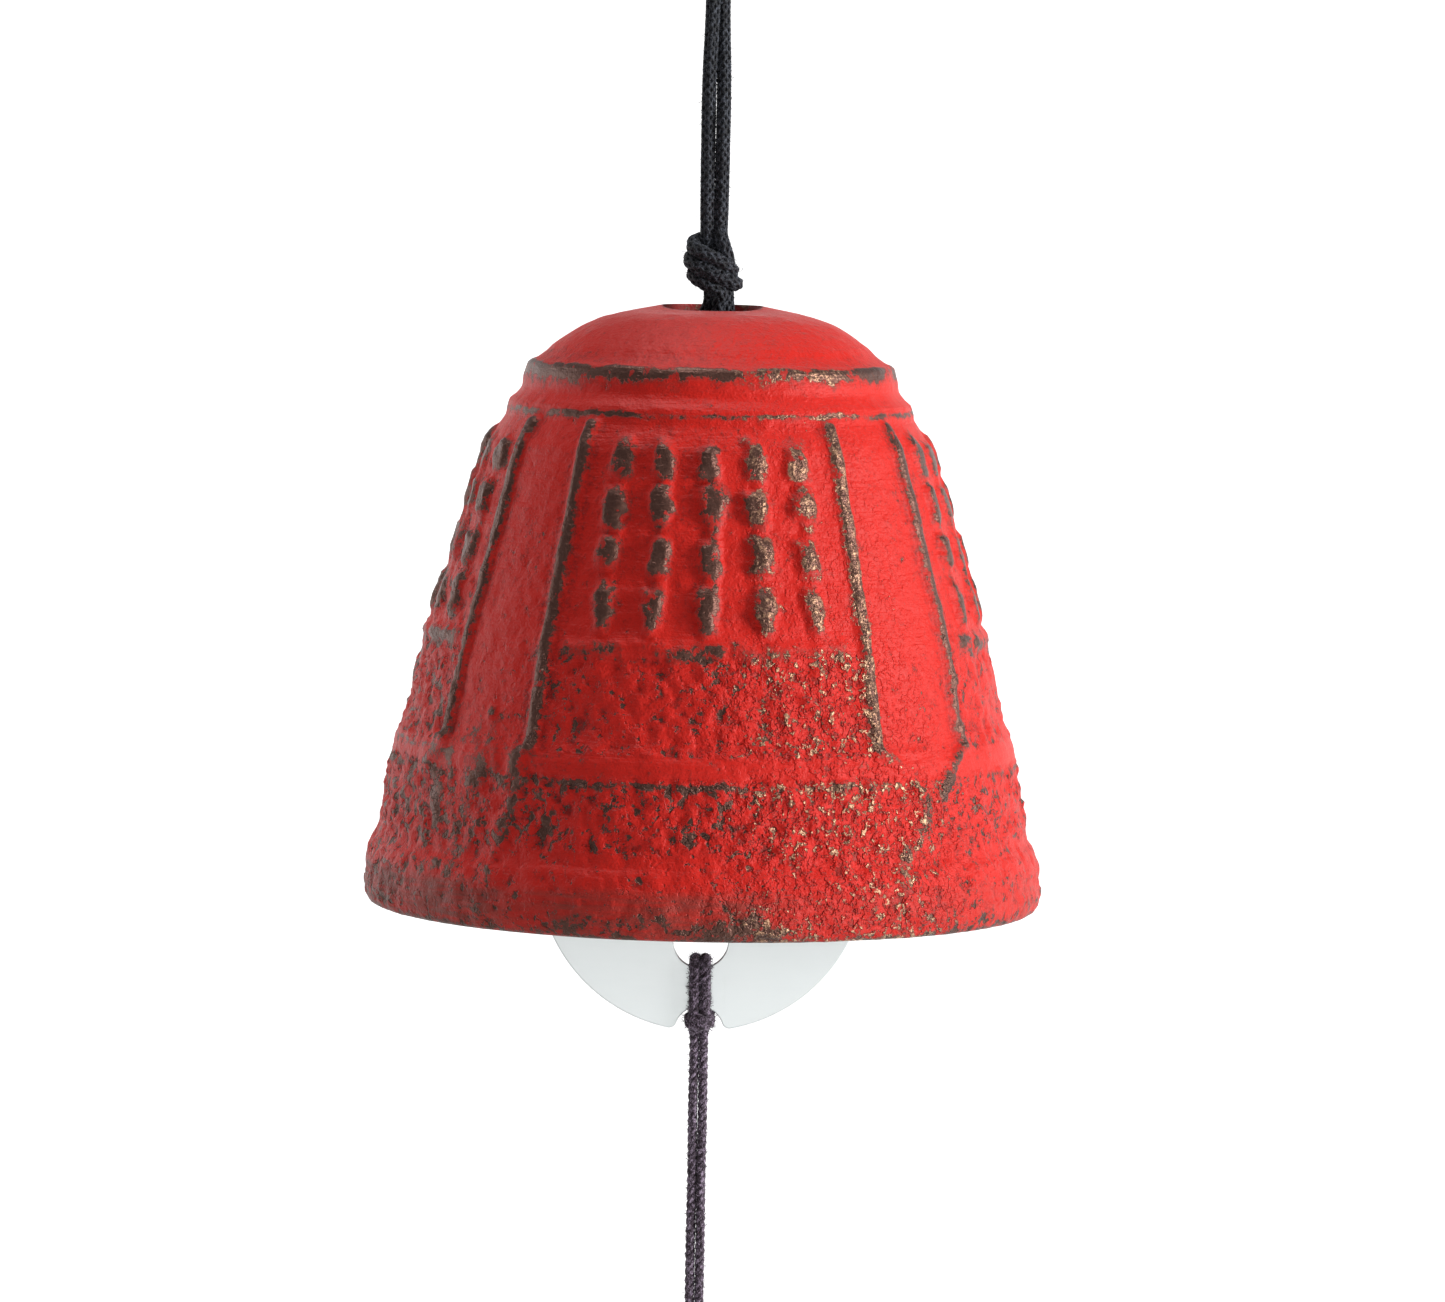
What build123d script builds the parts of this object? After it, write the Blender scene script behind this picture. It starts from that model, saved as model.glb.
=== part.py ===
from build123d import *
from math import atan2, cos, degrees, hypot, pi, radians, sin, sqrt, tan
import os

# A small iron wind bell that hangs from a hook by a doubled cord. Sizes are in millimetres.
# +Z is up, +X is to the viewer's right and the viewer stands on the -Y side.
# The origin is the point where the hanging eye bears on its hook.

# Gaps and joins that several pieces share
turning_gap = 0.3
resting_gap = 0.05
tuck = 0.4
overrun = 1.0
cord_sides = 6

# Hanging cord: a black braided cord laid double, with an eye for the hook
hook_radius = 2.2
cord_radius = 0.75
strand_gap = 0.1
hang_drop = 47.0
eye_knot_drop = 10.5
top_knot_radius = 2.6
crown_knot_height = 7.0
crown_knot_lift = 0.3
upper_turn_radius = 1.4
upper_turn_length = 4.8
lower_turn_radius = 1.75
lower_turn_length = 3.9

# Bell casting
lip_radius = 36.0
bell_height = 63.6
crown_hole_radius = 5.3
crown_wall = 3.4
wall = 3.0
lip_wall = 3.4
core_sides = 48

# Relief on the casting, repeated on every quarter
quarters = 4
panel_angle = 67.0
bead_width = 1.2
bead_relief = 0.55
bead_draft = 25.0
sill_height = 1.5
sill_relief = 0.35
boss_columns = 5
boss_rows = 4
boss_pitch_angle = 11.25
boss_width = 2.4
boss_height = 3.4
boss_relief = 0.65
boss_draft = 20.0
waist_width = 4.6

# Pin across the inside of the crown
pin_radius = 1.2
pin_length = 17.0

# Thin cord of the clapper and of the wind catcher, laid double
thin_radius = 0.5
thin_gap = 0.1
loop_spread = 2.2
loop_neck = 2.6
clapper_knot_drop = 7.4
clapper_knot_radius = 1.6

# Clapper plate
plate_radius = 17.5
plate_thickness = 0.9
plate_drop = 59.7
plate_hole_radius = 2.9
plate_hole_offset = 7.8
notch_radius = 2.6
notch_round = 0.8
hitch_bar_length = 3.1
hitch_bar_radius = 0.9

# Wind catcher
paper_knot_drop = 111.0
paper_knot_radius = 1.5
paper_loop_drop = 6.8
paper_loop_spread = 1.0
paper_width = 40.0
paper_length = 115.0
paper_thickness = 0.4
paper_hole_radius = 1.5
paper_hole_margin = 5.0

# Outline of the casting: shares of the lip radius and of the bell's height, from the crown down.
# It runs straight from point to point, because curved faces of revolution would make the casting heavy.
dome_shares = ((0.318, 0.0180), (0.408, 0.0430), (0.458, 0.0660))
ridge_shares = ((0.530, 0.0940), (0.550, 0.1344))
collar_shares = ((0.562, 0.1460), (0.586, 0.1604), (0.592, 0.1753))
shoulder_share = (0.650, 0.2264)
field_foot_share = (0.8208, 0.5409)
panel_foot_share = (0.8790, 0.6840)
band_head_share = (0.9100, 0.7217)
band_foot_share = (0.9236, 0.7750)
skirt_foot_share = (0.9530, 0.8726)
lip_shares = ((0.980, 0.9200), (1.000, 0.9640))
rim_share = (0.9830, 1.0000)

# First and last row of bosses: shares of the way down the field, from the shoulder to its foot
first_row_share = 0.03
last_row_share = 0.78
# Lobes of a knot: shares of its height, and of its turn's radius out from the cord's line
upper_turn_share = (-0.85, 0.64)
lower_turn_share = (0.45, 0.30)
# Where a bead leaves the band's edge for its waist and spreads again
waist_share = 0.5
spread_share = 0.8
# The inside of the crown turns from its seat to the wall through this share of the way out and down
haunch_share = (0.72, 0.42)
# Width of the flats that round off a knot, as shares of its radius
ball_flat_share = 0.55
turn_flat_share = 0.4

# A cord's corner takes this share of its shorter run, and a fold this share of the half circle that it could be
bend_share = 0.45
fold_share = 0.96

crown_z = -hang_drop
strand_x = cord_radius + strand_gap / 2
thin_x = thin_radius + thin_gap / 2


def station(share):
    """A point of the outline, as radius and height."""
    return share[0] * lip_radius, crown_z - share[1] * bell_height


def between(a, b, share):
    """What lies this share of the way from a to b, of two points."""
    return tuple(p + (q - p) * share for p, q in zip(a, b))


def inward(a, b, point, depth):
    """A point moved into the wall, square to the outline from a to b."""
    run = hypot(b[0] - a[0], b[1] - a[1])
    return point[0] + (b[1] - a[1]) / run * depth, point[1] - (b[0] - a[0]) / run * depth


def flat(points):
    """Outline points stood up in the plane of X and Z."""
    return [Vector(r, 0, z) for r, z in points]


def corner_radii(points, folds):
    """Radius of each corner: the fold's own, or the largest that its two runs allow beside a fold."""
    runs = [points[i + 1] - points[i] for i in range(len(points) - 1)]
    half_turns = [0] + [radians(a.get_angle(b)) / 2 for a, b in zip(runs, runs[1:])] + [0]
    reach = {i: radius * tan(half_turns[i]) for i, radius in folds.items()}
    radii = []
    for i in range(1, len(points) - 1):
        room = min(runs[i - 1].length - reach.get(i - 1, 0), runs[i].length - reach.get(i + 1, 0))
        radii.append(folds.get(i, bend_share * room / tan(half_turns[i])))
    return radii


def tube(name, points, radius, folds):
    """A round cord along straight runs and tangent arcs, with its radii and volume printed."""
    radii = corner_radii(points, folds)
    line = FilletPolyline(*points, radius=radii)
    start = Plane(origin=line @ 0, z_dir=line % 0)
    section = start * RegularPolygon(radius, cord_sides)
    solid = sweep(section, path=line)
    print(name, "radii", [round(r, 2) for r in radii], "length", round(line.length, 2))
    print(name, "volume over section times length", round(solid.volume / section.area / line.length, 4))
    return solid


def strand(x, low, high, radius):
    """One straight strand of a doubled cord that carries weight."""
    return extrude(Pos(x, 0, low) * RegularPolygon(radius, cord_sides), amount=high - low)


def ball_knot(radius, z):
    """A knot drawn up tight on the cord's line, as a ball of flats."""
    block = Box(2 * radius, 2 * radius, 2 * radius)
    return Pos(0, 0, z) * chamfer(block.edges(), ball_flat_share * radius)


def knot_turn(radius, length):
    """One turn of cord in a loose knot, as a barrel of flats along Z."""
    barrel = extrude(RegularPolygon(radius, cord_sides), amount=length / 2, both=True)
    ends = [e for e in barrel.edges() if abs(e.center().Z) > length / 3]
    return chamfer(ends, turn_flat_share * radius)


# Hanging cord

top_knot_z = -eye_knot_drop
eye_bend = hook_radius + cord_radius
eye_top = cord_radius
eye_foot = top_knot_z + top_knot_radius + turning_gap
eye_neck = -hook_radius - eye_bend / 2
crown_knot_foot = crown_z + crown_knot_lift
crown_knot_head = crown_knot_foot + crown_knot_height
pin_z = crown_z - crown_wall - resting_gap - pin_radius
bight_bend = pin_radius + turning_gap + cord_radius


def hanging_eye():
    """The eye at the top of the cord, round its hook."""
    right = [Vector(strand_x, 0, eye_foot), Vector(eye_bend, 0, eye_neck), Vector(eye_bend, 0, eye_top)]
    left = [Vector(-p.X, 0, p.Z) for p in reversed(right)]
    return tube("hanging_eye", right + left, cord_radius, {2: eye_bend * fold_share, 3: eye_bend * fold_share})


def crown_bight():
    """The fold of the cord that goes down through the crown hole and round the pin."""
    head = crown_knot_foot + tuck
    neck = crown_z - crown_wall / 2
    foot = pin_z - bight_bend
    right = [Vector(strand_x, 0, head), Vector(bight_bend, 0, neck), Vector(bight_bend, 0, foot)]
    left = [Vector(-p.X, 0, p.Z) for p in reversed(right)]
    return tube("crown_bight", right + left, cord_radius, {2: bight_bend * fold_share, 3: bight_bend * fold_share})


def crown_knot():
    """The knot above the crown: a core with one turn high on the left and one low on the right."""
    middle = (crown_knot_foot + crown_knot_head) / 2
    core = Pos(0, 0, middle) * knot_turn(2 * cord_radius, crown_knot_height)
    upper = Pos(upper_turn_share[0] * upper_turn_radius, 0, crown_knot_foot + upper_turn_share[1] * crown_knot_height)
    lower = Pos(lower_turn_share[0] * lower_turn_radius, 0, crown_knot_foot + lower_turn_share[1] * crown_knot_height)
    upper = upper * Rot(0, -8, 0) * knot_turn(upper_turn_radius, upper_turn_length)
    lower = lower * Rot(0, 20, 0) * knot_turn(lower_turn_radius, lower_turn_length)
    return core + upper + lower


# Bell casting

seat_radius = pin_length / 2 + resting_gap
crown_edge = (crown_hole_radius, crown_z)
seat_z = crown_z - crown_wall


def outer_outline():
    """The casting's outside from the crown hole to the rim, and back in under the rim."""
    walls = (shoulder_share, field_foot_share, panel_foot_share, band_head_share, band_foot_share, skirt_foot_share)
    shares = dome_shares + ridge_shares + collar_shares + walls + lip_shares + (rim_share,)
    return [crown_edge] + [station(share) for share in shares] + [(crown_hole_radius, station(rim_share)[1])]


def core_outline():
    """The casting's inside from the rim up to the seat of the pin."""
    shoulder, foot, rim = station(shoulder_share), station(field_foot_share), station(rim_share)
    mouth = (rim[0] - lip_wall, rim[1])
    middle = inward(shoulder, foot, foot, wall)
    neck = inward(shoulder, foot, shoulder, wall)
    seat = (seat_radius, seat_z)
    haunch = (between(seat, neck, haunch_share[0])[0], between(seat, neck, haunch_share[1])[1])
    return [mouth, middle, neck, haunch, seat]


def core():
    """The core that the casting is poured round, walled by narrow flats that keep the casting light to draw."""
    points = core_outline()
    rings = []
    for (foot_radius, foot_z), (head_radius, head_z) in zip(points, points[1:]):
        draft = degrees(atan2((foot_radius - head_radius) * cos(pi / core_sides), head_z - foot_z))
        section = Pos(0, 0, foot_z) * RegularPolygon(foot_radius, core_sides)
        rings.append(extrude(section, amount=head_z - foot_z, taper=draft))
    return rings


def wall_frame(angle, share):
    """A plane on the outside of the field or panel, facing out, with its Y up the wall."""
    shoulder, foot = station(shoulder_share), station(field_foot_share)
    r, z = between(shoulder, foot, share)
    slope = atan2(foot[0] - shoulder[0], shoulder[1] - foot[1])
    out = Vector(cos(slope) * cos(angle), cos(slope) * sin(angle), sin(slope))
    return Plane(origin=(r * cos(angle), r * sin(angle), z), x_dir=(-sin(angle), cos(angle), 0), z_dir=out)


def pad(plane, width, height, relief, draft):
    """A low pad that stands on the wall, its sides drawn in by the draft so that it has this size at the wall."""
    growth = 2 * overrun * tan(radians(draft))
    base = plane.offset(-overrun) * Rectangle(width + growth, height + growth)
    return extrude(base, amount=overrun + relief, taper=draft)


def boss_field(middle_angle):
    """The rows and columns of bosses of one panel."""
    pads = []
    for column in range(boss_columns):
        angle = radians(middle_angle + (column - (boss_columns - 1) / 2) * boss_pitch_angle)
        for row in range(boss_rows):
            share = first_row_share + (last_row_share - first_row_share) * row / max(boss_rows - 1, 1)
            pads.append(pad(wall_frame(angle, share), boss_width, boss_height, boss_relief, boss_draft))
    return pads


def sill(middle_angle):
    """The level bead under one panel's bosses."""
    shoulder, foot, panel = station(shoulder_share), station(field_foot_share), station(panel_foot_share)
    head = between(foot, shoulder, sill_height / 2 / hypot(foot[0] - shoulder[0], foot[1] - shoulder[1]))
    base = between(foot, panel, sill_height / 2 / hypot(panel[0] - foot[0], panel[1] - foot[1]))
    crest = inward(shoulder, panel, foot, -sill_relief - sill_height / 8)
    deep = inward(shoulder, panel, foot, overrun)
    face = make_face(Polyline(*flat([head, crest, base, deep]), close=True))
    half = panel_angle / 2
    return Rot(0, 0, middle_angle - half) * revolve(face, axis=Axis.Z, revolution_arc=panel_angle)


def edge_bead(angle):
    """The raised bead that edges a band, from the collar down to the middle band."""
    points = [station(s) for s in (collar_shares[-1], shoulder_share, field_foot_share, panel_foot_share)]
    points.append(station(band_head_share))
    outer = [inward(points[0], points[1], points[0], -bead_relief / 2)]
    outer += [inward(points[i - 1], points[i + 1], points[i], -bead_relief) for i in (1, 2, 3)]
    outer.append(points[4])
    inner = [(r - overrun, z) for r, z in reversed(points)]
    face = make_face(Polyline(*flat(outer + inner), close=True))
    return Rot(0, 0, angle) * extrude(face, amount=bead_width / 2, both=True, taper=bead_draft)


def slanting_bead(start, end):
    """A straight bead between two places on the wall, each an angle and an outline point."""
    places = [Vector(p[0] * cos(a), p[0] * sin(a), p[1]) for a, p in (start, end)]
    along = places[1] - places[0]
    middle = (places[0] + places[1]) / 2
    side = Vector(0, 0, 1).cross(Vector(middle.X, middle.Y, 0))
    out = along.cross(side) if along.Z < 0 else side.cross(along)
    if out.X * middle.X + out.Y * middle.Y < 0:
        out = out * -1
    plane = Plane(origin=middle, x_dir=along, z_dir=out)
    base = plane.offset(-overrun) * Rectangle(along.length + bead_width / 2, bead_width)
    return extrude(base, amount=overrun + bead_relief * 0.8)


def waist(band_angle):
    """The beads of a band drawn in to a waist on the middle band and spread again towards the lip."""
    foot, head = station(panel_foot_share), station(band_head_share)
    middle = between(head, station(band_foot_share), waist_share)
    low = between(station(band_foot_share), station(skirt_foot_share), spread_share)
    half_band = (360 / quarters - panel_angle) / 2
    narrow = degrees(waist_width / 2 / middle[0])
    beads = []
    for side in (-1, 1):
        edge = radians(band_angle + side * half_band)
        neck = radians(band_angle + side * narrow)
        spread = radians(band_angle + side * half_band * spread_share)
        beads.append(slanting_bead((edge, foot), (neck, middle)))
        beads.append(slanting_bead((neck, middle), (spread, low)))
    return beads


def bell_casting():
    """The iron bell with its relief."""
    body = revolve(make_face(Polyline(*flat(outer_outline()), close=True)), axis=Axis.Z)
    relief = []
    for quarter in range(quarters):
        panel_middle = -90 + quarter * 360 / quarters
        relief += boss_field(panel_middle)
        relief.append(sill(panel_middle))
        relief += [edge_bead(panel_middle + side * panel_angle / 2) for side in (-1, 1)]
        relief += waist(panel_middle + 180 / quarters)
    return body + relief - core()


# Pin and clapper

def crown_pin():
    """The cross pin that the cords go round, seated under the crown."""
    return Pos(0, 0, pin_z) * Rot(90, 0, 0) * Cylinder(pin_radius, pin_length)


clapper_knot_z = pin_z - clapper_knot_drop


def clapper_loop(side):
    """One loop of the clapper cord over the pin, beside the hanging cord."""
    bend = pin_radius + resting_gap + thin_radius
    foot_z = clapper_knot_z + clapper_knot_radius + turning_gap
    y = side * loop_spread
    near = [Vector(thin_x, side * thin_x, foot_z), Vector(bend, y, pin_z - loop_neck), Vector(bend, y, pin_z + bend)]
    far = [Vector(-p.X, p.Y, p.Z) for p in reversed(near)]
    return tube("clapper_loop", near + far, thin_radius, {2: bend * fold_share, 3: bend * fold_share})


plate_z = crown_z - plate_drop
notch_seat = plate_radius - notch_radius


def clapper_plate():
    """The striking disc, with a hole and an open notch at its head and at its foot."""
    disc = Circle(plate_radius)
    for side in (-1, 1):
        disc -= Pos(0, side * plate_hole_offset) * Circle(plate_hole_radius)
        disc -= Pos(0, side * plate_radius) * Circle(notch_radius)
    corners = [v for v in disc.vertices() if abs(v.Y) > notch_seat]
    disc = fillet(corners, notch_round)
    plane = Plane(origin=(0, plate_thickness / 2, plate_z), x_dir=(1, 0, 0), z_dir=(0, -1, 0))
    return extrude(plane * disc, amount=plate_thickness)


def hitch(side):
    """The clapper cord or wind cord hitched round the plate's bridge: side is 1 at the head, -1 at the foot."""
    half_width = thin_x + thin_radius
    near = plate_hole_offset + plate_hole_radius - rise(plate_hole_radius, half_width)
    far = notch_seat + rise(notch_radius, half_width)
    room = resting_gap + 2 * thin_radius
    outer = Box(2 * half_width, plate_thickness + 2 * room, far - near + 2 * room)
    outer = chamfer(outer.edges().filter_by(Axis.X), thin_radius)
    inner = Box(2 * half_width + overrun, plate_thickness + 2 * resting_gap, far - near + 2 * resting_gap)
    wrap = Pos(0, 0, plate_z + side * (near + far) / 2) * (outer - inner)
    bar = extrude(Plane.YZ * RegularPolygon(hitch_bar_radius, cord_sides), amount=hitch_bar_length / 2, both=True)
    return wrap + Pos(0, 0, hitch_z(side)) * bar


def rise(radius, half_width):
    """How far a round edge rises over this half width."""
    return radius - sqrt(max(radius ** 2 - half_width ** 2, 0))


def hitch_z(side):
    """Height of the bar of a hitch, where the strands leave it."""
    return plate_z + side * (notch_seat + resting_gap + thin_radius + hitch_bar_radius)


# Wind catcher

paper_knot_z = crown_z - paper_knot_drop
loop_foot_z = paper_knot_z - paper_loop_drop
paper_hole_z = loop_foot_z + thin_radius + resting_gap - paper_hole_radius
paper_top = paper_hole_z + paper_hole_margin


def paper_loop():
    """The end of the wind cord, passed through the paper's hole."""
    head = paper_knot_z - paper_knot_radius - turning_gap
    y = paper_loop_spread
    neck = head - 2 * thin_radius
    front = [Vector(0, thin_x, head), Vector(0, y, neck), Vector(0, y, loop_foot_z)]
    back = [Vector(0, -p.Y, p.Z) for p in reversed(front)]
    return tube("paper_loop", front + back, thin_radius, {2: y * fold_share, 3: y * fold_share})


def paper_strip():
    """The strip of stiff paper that catches the wind."""
    strip = Pos(0, 0, paper_top - paper_length / 2) * Box(paper_width, paper_thickness, paper_length)
    hole = Pos(0, 0, paper_hole_z) * Rot(90, 0, 0) * Cylinder(paper_hole_radius, paper_thickness + overrun)
    return strip - hole


hang_top = top_knot_z - top_knot_radius - turning_gap
hang_foot = crown_knot_head + turning_gap
clapper_top = clapper_knot_z - clapper_knot_radius - turning_gap
clapper_foot = hitch_z(1) + hitch_bar_radius + turning_gap
wind_top = hitch_z(-1) - hitch_bar_radius - turning_gap
wind_foot = paper_knot_z + paper_knot_radius + turning_gap

parts = {
    "hanging_eye": hanging_eye(),
    "top_knot": ball_knot(top_knot_radius, top_knot_z),
    "hanging_cord_left": strand(-strand_x, hang_foot, hang_top, cord_radius),
    "hanging_cord_right": strand(strand_x, hang_foot, hang_top, cord_radius),
    "crown_knot": crown_knot(),
    "crown_bight": crown_bight(),
    "bell_casting": bell_casting(),
    "crown_pin": crown_pin(),
    "clapper_loops": Compound([clapper_loop(-1), clapper_loop(1)]),
    "clapper_knot": ball_knot(clapper_knot_radius, clapper_knot_z),
    "clapper_cord_left": strand(-thin_x, clapper_foot, clapper_top, thin_radius),
    "clapper_cord_right": strand(thin_x, clapper_foot, clapper_top, thin_radius),
    "upper_hitch": hitch(1),
    "clapper_plate": clapper_plate(),
    "lower_hitch": hitch(-1),
    "wind_cord_left": strand(-thin_x, wind_foot, wind_top, thin_radius),
    "wind_cord_right": strand(thin_x, wind_foot, wind_top, thin_radius),
    "paper_knot": ball_knot(paper_knot_radius, paper_knot_z),
    "paper_loop": paper_loop(),
    "paper_strip": paper_strip(),
}

os.makedirs("parts", exist_ok=True)
for name, part in parts.items():
    export_step(part, f"parts/{name}.step")
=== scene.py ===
import math
from types import SimpleNamespace

import bmesh
import bpy
import numpy as np
from bpy.props import FloatProperty, FloatVectorProperty, IntProperty, PointerProperty
from mathutils import Matrix, Vector


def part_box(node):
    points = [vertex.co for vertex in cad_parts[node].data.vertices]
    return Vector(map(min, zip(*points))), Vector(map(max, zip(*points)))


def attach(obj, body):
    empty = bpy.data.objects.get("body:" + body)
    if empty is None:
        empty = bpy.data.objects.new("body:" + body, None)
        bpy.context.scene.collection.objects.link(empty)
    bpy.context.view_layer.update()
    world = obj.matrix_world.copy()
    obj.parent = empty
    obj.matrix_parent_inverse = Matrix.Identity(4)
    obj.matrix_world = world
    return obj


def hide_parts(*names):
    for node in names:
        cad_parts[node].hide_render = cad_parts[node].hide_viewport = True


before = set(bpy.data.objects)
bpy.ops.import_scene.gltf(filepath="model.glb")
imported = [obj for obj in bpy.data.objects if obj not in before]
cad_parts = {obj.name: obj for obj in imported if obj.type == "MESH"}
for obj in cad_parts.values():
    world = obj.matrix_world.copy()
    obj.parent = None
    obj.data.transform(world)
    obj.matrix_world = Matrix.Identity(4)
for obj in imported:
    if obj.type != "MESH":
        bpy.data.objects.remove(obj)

bl_info = {
    "name": "Iron Wind Bell",
    "version": (1, 0, 0),
    "blender": (4, 5, 0),
    "location": "3D View > Sidebar > Wind Bell",
    "description": "Dresses a cast-iron wind bell with its cords, clapper plate and paper strip",
    "category": "Object",
}

# A millimetre in metres, and the height of the crown's top in millimetres
MM = 0.001
CROWN = -47.0


# Sizes and colours that a user would change


def length(name, description, default):
    return FloatProperty(name=name, description=description, default=default, unit="LENGTH")


def tint(name, description, default):
    return FloatVectorProperty(name=name, description=description, default=default, subtype="COLOR", size=3)


class WindBellSizes(bpy.types.PropertyGroup):
    """Sizes of the wind bell's casting, cords and sheets."""

    lip_radius: length("Lip radius", "Radius of the bell where its lip is widest", 0.036)
    bell_height: length("Bell height", "Height of the casting from crown to rim", 0.0636)
    boss_relief: length("Boss relief", "How far the bosses stand off the panels", 0.00072)
    bead_relief: length("Bead relief", "How far the beads stand off the wall", 0.00055)
    sand_relief: length("Sand relief", "Depth of the sandy casting skin", 0.00028)
    columns: IntProperty(name="Columns", description="Steps round the casting", default=480, min=96, max=480)
    row_pitch: length("Row pitch", "Height of one row of the casting's mesh", 0.00042)
    braid_radius: length("Braid radius", "Radius of one strand of the hanging cord", 0.00075)
    thread_radius: length("Thread radius", "Radius of one strand of the clapper and wind cords", 0.0005)
    plate_edge: length("Plate edge", "Width of the rounding on the plate's edges", 0.00012)


class WindBellColours(bpy.types.PropertyGroup):
    """Colours of the wind bell's finishes."""

    paint: tint("Paint", "Red paint of the bell", (0.6, 0.0105, 0.004))
    # Deep paint is partly real mottling and partly painted shade in grooves, valleys, pits and inside the bell
    paint_deep_and_shade: tint("Deep paint", "Paint where it lies thick in hollows", (0.27, 0.006, 0.004))
    paint_worn: tint("Worn paint", "Paint that is about to wear through", (0.19, 0.028, 0.02))
    paint_thin: tint("Thin paint", "Paint brushed thin along the lip", (0.24, 0.042, 0.03))
    iron: tint("Iron", "Bare iron where the paint has worn away", (0.125, 0.058, 0.044))
    # Rubbed iron is partly real rubbed metal and partly the colour of painted glints where the key lamp falls
    iron_rubbed_and_glint: tint("Rubbed iron", "Iron rubbed bright on what stands proud", (0.6, 0.345, 0.21))
    steel: tint("Pin", "Drawn steel of the crown pin", (0.3, 0.29, 0.28))
    steel_line: tint("Pin lines", "Lines that the die drew along the pin", (0.52, 0.5, 0.48))
    braid: tint("Hanging cord", "Black braid of the hanging cord", (0.004, 0.0045, 0.0065))
    # The braid's paler specks are partly nap and partly painted highlights on the yarn
    braid_nap_and_highlight: tint("Braid nap", "Paler fibres of the black braid", (0.085, 0.095, 0.12))
    thread: tint("Thread", "Dark thread of the clapper and wind cords", (0.03, 0.017, 0.027))
    # The thread's paler fibres are partly real nap and partly painted highlights
    thread_nap_and_highlight: tint("Thread nap", "Paler fibres of the thread", (0.36, 0.28, 0.38))
    plate: tint("Plate", "Sheet metal of the clapper plate", (0.89, 0.93, 0.925))
    plate_cloud: tint("Plate clouds", "Duller clouds on the sheet metal", (0.82, 0.875, 0.875))
    paper: tint("Paper", "Paper of the wind strip", (0.88, 0.86, 0.79))
    paper_fibre: tint("Paper fibres", "Darker fibres in the paper", (0.8, 0.76, 0.66))


# Finishes


def maths(operation, swapped=False):
    """A method that adds a maths node for a sum, its sides swapped where the other value comes first."""
    def made(tone, other):
        a, b = (other, tone) if swapped else (tone, other)
        return tone.finish.node("ShaderNodeMath", {"operation": operation}, {0: a, 1: b})
    return made


class Tone:
    """A socket's value that takes part in sums, so that shader maths reads as Python."""

    def __init__(self, finish, socket):
        self.finish, self.socket = finish, socket

    __add__, __radd__ = maths("ADD"), maths("ADD", True)
    __sub__, __rsub__ = maths("SUBTRACT"), maths("SUBTRACT", True)
    __mul__, __rmul__ = maths("MULTIPLY"), maths("MULTIPLY", True)


class Finish:
    """One procedural material and the nodes that make it."""

    def __init__(self, name, **constants):
        self.material = bpy.data.materials.new(name)
        self.material.use_nodes = True
        self.tree = self.material.node_tree
        self.shader = next(n for n in self.tree.nodes if n.type == "BSDF_PRINCIPLED")
        for socket, value in constants.items():
            self.shader.inputs[socket.replace("_", " ")].default_value = value

    def node(self, kind, settings=None, sockets=None, output=0):
        made = self.tree.nodes.new(kind)
        for name, value in (settings or {}).items():
            setattr(made, name, value)
        for name, value in (sockets or {}).items():
            if isinstance(value, Tone):
                self.tree.links.new(value.socket, made.inputs[name])
            else:
                made.inputs[name].default_value = value
        return Tone(self, made.outputs[output])

    def place(self, stretch=(1, 1, 1)):
        """Object coordinates, closed up along an axis by its stretch."""
        here = self.node("ShaderNodeTexCoord", output="Object")
        if stretch == (1, 1, 1):
            return here
        return self.node("ShaderNodeMapping", None, {"Vector": here, "Scale": stretch})

    def grain(self, size, detail=3, stretch=(1, 1, 1), rough=0.55):
        """Noise from 0 to 1 whose features are this many millimetres wide."""
        return self.node("ShaderNodeTexNoise", None,
            {"Vector": self.place(stretch), "Scale": 1 / (size * MM), "Detail": detail, "Roughness": rough})

    def mark(self, name):
        """A mark kept on the mesh's vertices."""
        return self.node("ShaderNodeAttribute", {"attribute_name": name}, output="Fac")

    def ramp(self, value, low, high):
        """A soft step from 0 to 1 between two levels of a value."""
        return self.node("ShaderNodeMapRange", {"interpolation_type": "SMOOTHSTEP"},
            {"Value": value, "From Min": low, "From Max": high})

    def mix(self, share, a, b):
        """A colour this share of the way from a to b, each a tone, a colour or the name of a user's colour."""
        a, b = (getattr(bpy.context.scene.wind_bell_colours, c) if isinstance(c, str) else c for c in (a, b))
        a, b = (c if isinstance(c, Tone) else (*c, 1) for c in (a, b))
        return self.node("ShaderNodeMix", {"data_type": "RGBA"}, {"Factor": share, 6: a, 7: b}, 2)

    def drive(self, socket, value):
        """What changes over the surface, led into the shader."""
        self.tree.links.new(value.socket, self.shader.inputs[socket])

    def relief(self, height):
        """Height in millimetres, felt as a bump."""
        self.drive("Normal", self.node("ShaderNodeBump", None, {"Strength": 1.0, "Distance": MM, "Height": height}))


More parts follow.
